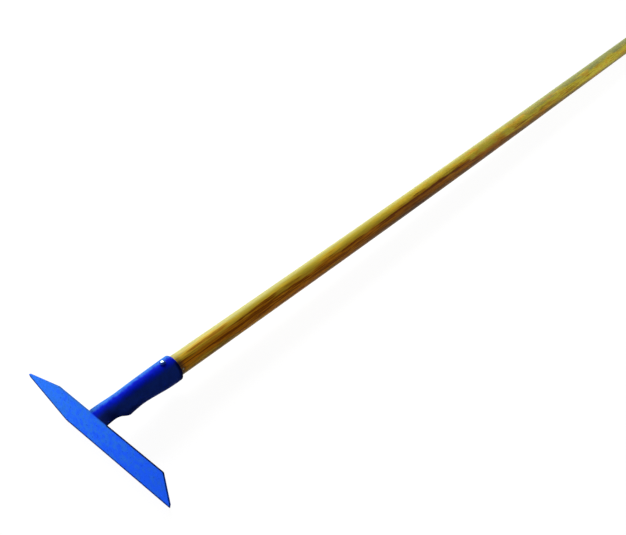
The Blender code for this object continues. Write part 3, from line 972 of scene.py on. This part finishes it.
def zinc_material():
    """Zinc plate with small spots, under blue paint that is rubbed off the top of the dome."""
    material, nodes, shader, place = new_material("dull_zinc")
    spots = nodes.noise(place, size=0.0012, detail=3.0, roughness=0.6)
    zinc = nodes.mix(nodes.spread(spots, SPOT_SPAN), ZINC_PALE, ZINC_DARK)
    from_top = nodes.vector("LENGTH", nodes.vector("MULTIPLY", place, (1.0, 1.0, 0.0)))
    from_top = nodes.jitter(from_top, spots, NOISE_MIDDLE, NAIL_WORN_WANDER)
    painted = nodes.spread(from_top, NAIL_WORN_RADIUS)
    nodes.put(shader.inputs["Base Color"], nodes.mix(painted, zinc, NAIL_BLUE))
    nodes.put(shader.inputs["Metallic"], nodes.spread(painted, (0.0, 1.0), (1.0, 0.0)))
    nodes.put(shader.inputs["Roughness"], nodes.spread(spots, NOISE_MIDDLE, ZINC_ROUGHNESS))
    set_gloss(shader, ZINC_SPECULAR, WHITE)
    nodes.put(shader.inputs["Normal"], nodes.bump(spots, strength=0.4))
    return material


def seen_directly(nodes):
    """1 for rays from the camera, and for those that metal, gloss and glass send on, else 0."""
    path = nodes.add("LightPath")
    seen = nodes.math("MAXIMUM", path.outputs["Is Camera Ray"], path.outputs["Is Glossy Ray"])
    return nodes.math("MAXIMUM", seen, path.outputs["Is Transmission Ray"])


def floor_material():
    """Looks white, apart from the object's shadow, but lights the object as a grey floor does."""
    material = bpy.data.materials.new("pale_floor")
    material.use_nodes = True
    material.node_tree.nodes.clear()
    nodes = Nodes(material.node_tree)
    seen = seen_directly(nodes)
    grey = nodes.spread(seen, (0.0, 1.0), (FLOOR_COLOUR, FLOOR_SEEN_COLOUR))
    lit = nodes.add("BsdfDiffuse", Color=grey)
    from_middle = nodes.vector("LENGTH", nodes.add("TexCoord").outputs["Object"])
    glow = nodes.spread(from_middle, FLOOR_GLOW_REACH, (FLOOR_GLOW, 1.0))
    shown = nodes.add("Emission", Strength=nodes.times(glow, seen))
    both = nodes.add("AddShader")
    nodes.put(both.inputs[0], lit.outputs[0])
    nodes.put(both.inputs[1], shown.outputs[0])
    nodes.add("OutputMaterial", Surface=both.outputs[0])
    return material


def make_floor():
    """A plain pale floor."""
    shape = bmesh.new()
    bmesh.ops.create_grid(shape, x_segments=1, y_segments=1, size=0.5 * FLOOR_SIZE)
    floor = bpy.data.objects.new("floor", finished_mesh("floor", shape))
    bpy.context.scene.collection.objects.link(floor)
    floor.data.materials.append(floor_material())


def make_world():
    """A white background, which lights the object only a little."""
    world = bpy.data.worlds.new("studio")
    bpy.context.scene.world = world
    world.use_nodes = True
    nodes = Nodes(world.node_tree)
    seen = seen_directly(nodes)
    background = world.node_tree.nodes["Background"]
    nodes.put(background.inputs["Color"], nodes.mix(seen, AMBIENT_COLOUR, WHITE))
    nodes.put(background.inputs["Strength"], nodes.spread(seen, (0.0, 1.0), (AMBIENT, 1.0)))


def make_lamps():
    """The soft rectangular lamps."""
    for name, place, aim, (width, height), power in LAMPS:
        data = bpy.data.lights.new(name, "AREA")
        data.shape = "RECTANGLE"
        data.size, data.size_y = width, height
        data.energy = power
        lamp = bpy.data.objects.new(name, data)
        bpy.context.scene.collection.objects.link(lamp)
        lamp.location = place
        lamp.rotation_euler = (Vector(aim) - Vector(place)).to_track_quat("-Z", "Y").to_euler()
        lamp.visible_camera = False


def make_camera(matrix):
    """The camera that took the photograph."""
    right = Vector(CAMERA_RIGHT).normalized()
    back = right.cross(Vector(CAMERA_UP)).normalized()
    up = back.cross(right)
    data = bpy.data.cameras.new("camera")
    data.lens = CAMERA_LENS
    data.sensor_width = CAMERA_SENSOR
    camera = bpy.data.objects.new("camera", data)
    bpy.context.scene.collection.objects.link(camera)
    pose = Matrix((right, up, back)).transposed().to_4x4()
    camera.matrix_world = matrix @ Matrix.Translation(CAMERA_PLACE) @ pose
    bpy.context.scene.camera = camera


def make_pieces(tool):
    """The three pieces, with the nail's hole through the head and the handle."""
    nail_axis = tool @ Matrix.Translation((0.0, NAIL_Y, 0.0)) @ Matrix.Rotation(NAIL_ANGLE, 4, "Y")
    head = new_piece(head_mesh(), tool, paint_material(), "weeder_head")
    drill(head, nail_axis)
    smooth(head, SHARP_ANGLE)
    handle = new_piece(handle_mesh(), tool, wood_material(), "handle")
    drill(handle, nail_axis)
    smooth(handle, SHARP_ANGLE)
    seat = nail_axis @ Matrix.Translation((0.0, 0.0, SPINE_HEIGHT + NAIL_CLEARANCE))
    nail = new_piece(nail_mesh(), seat, zinc_material(), "fixing_nail")
    smooth(nail, NAIL_SHARP_ANGLE)


def main():
    tool = tool_matrix(frame["record"])
    make_pieces(tool)
    make_floor()
    make_world()
    make_lamps()
    make_camera(tool)
    bpy.context.scene.view_settings.view_transform = "Standard"


main()
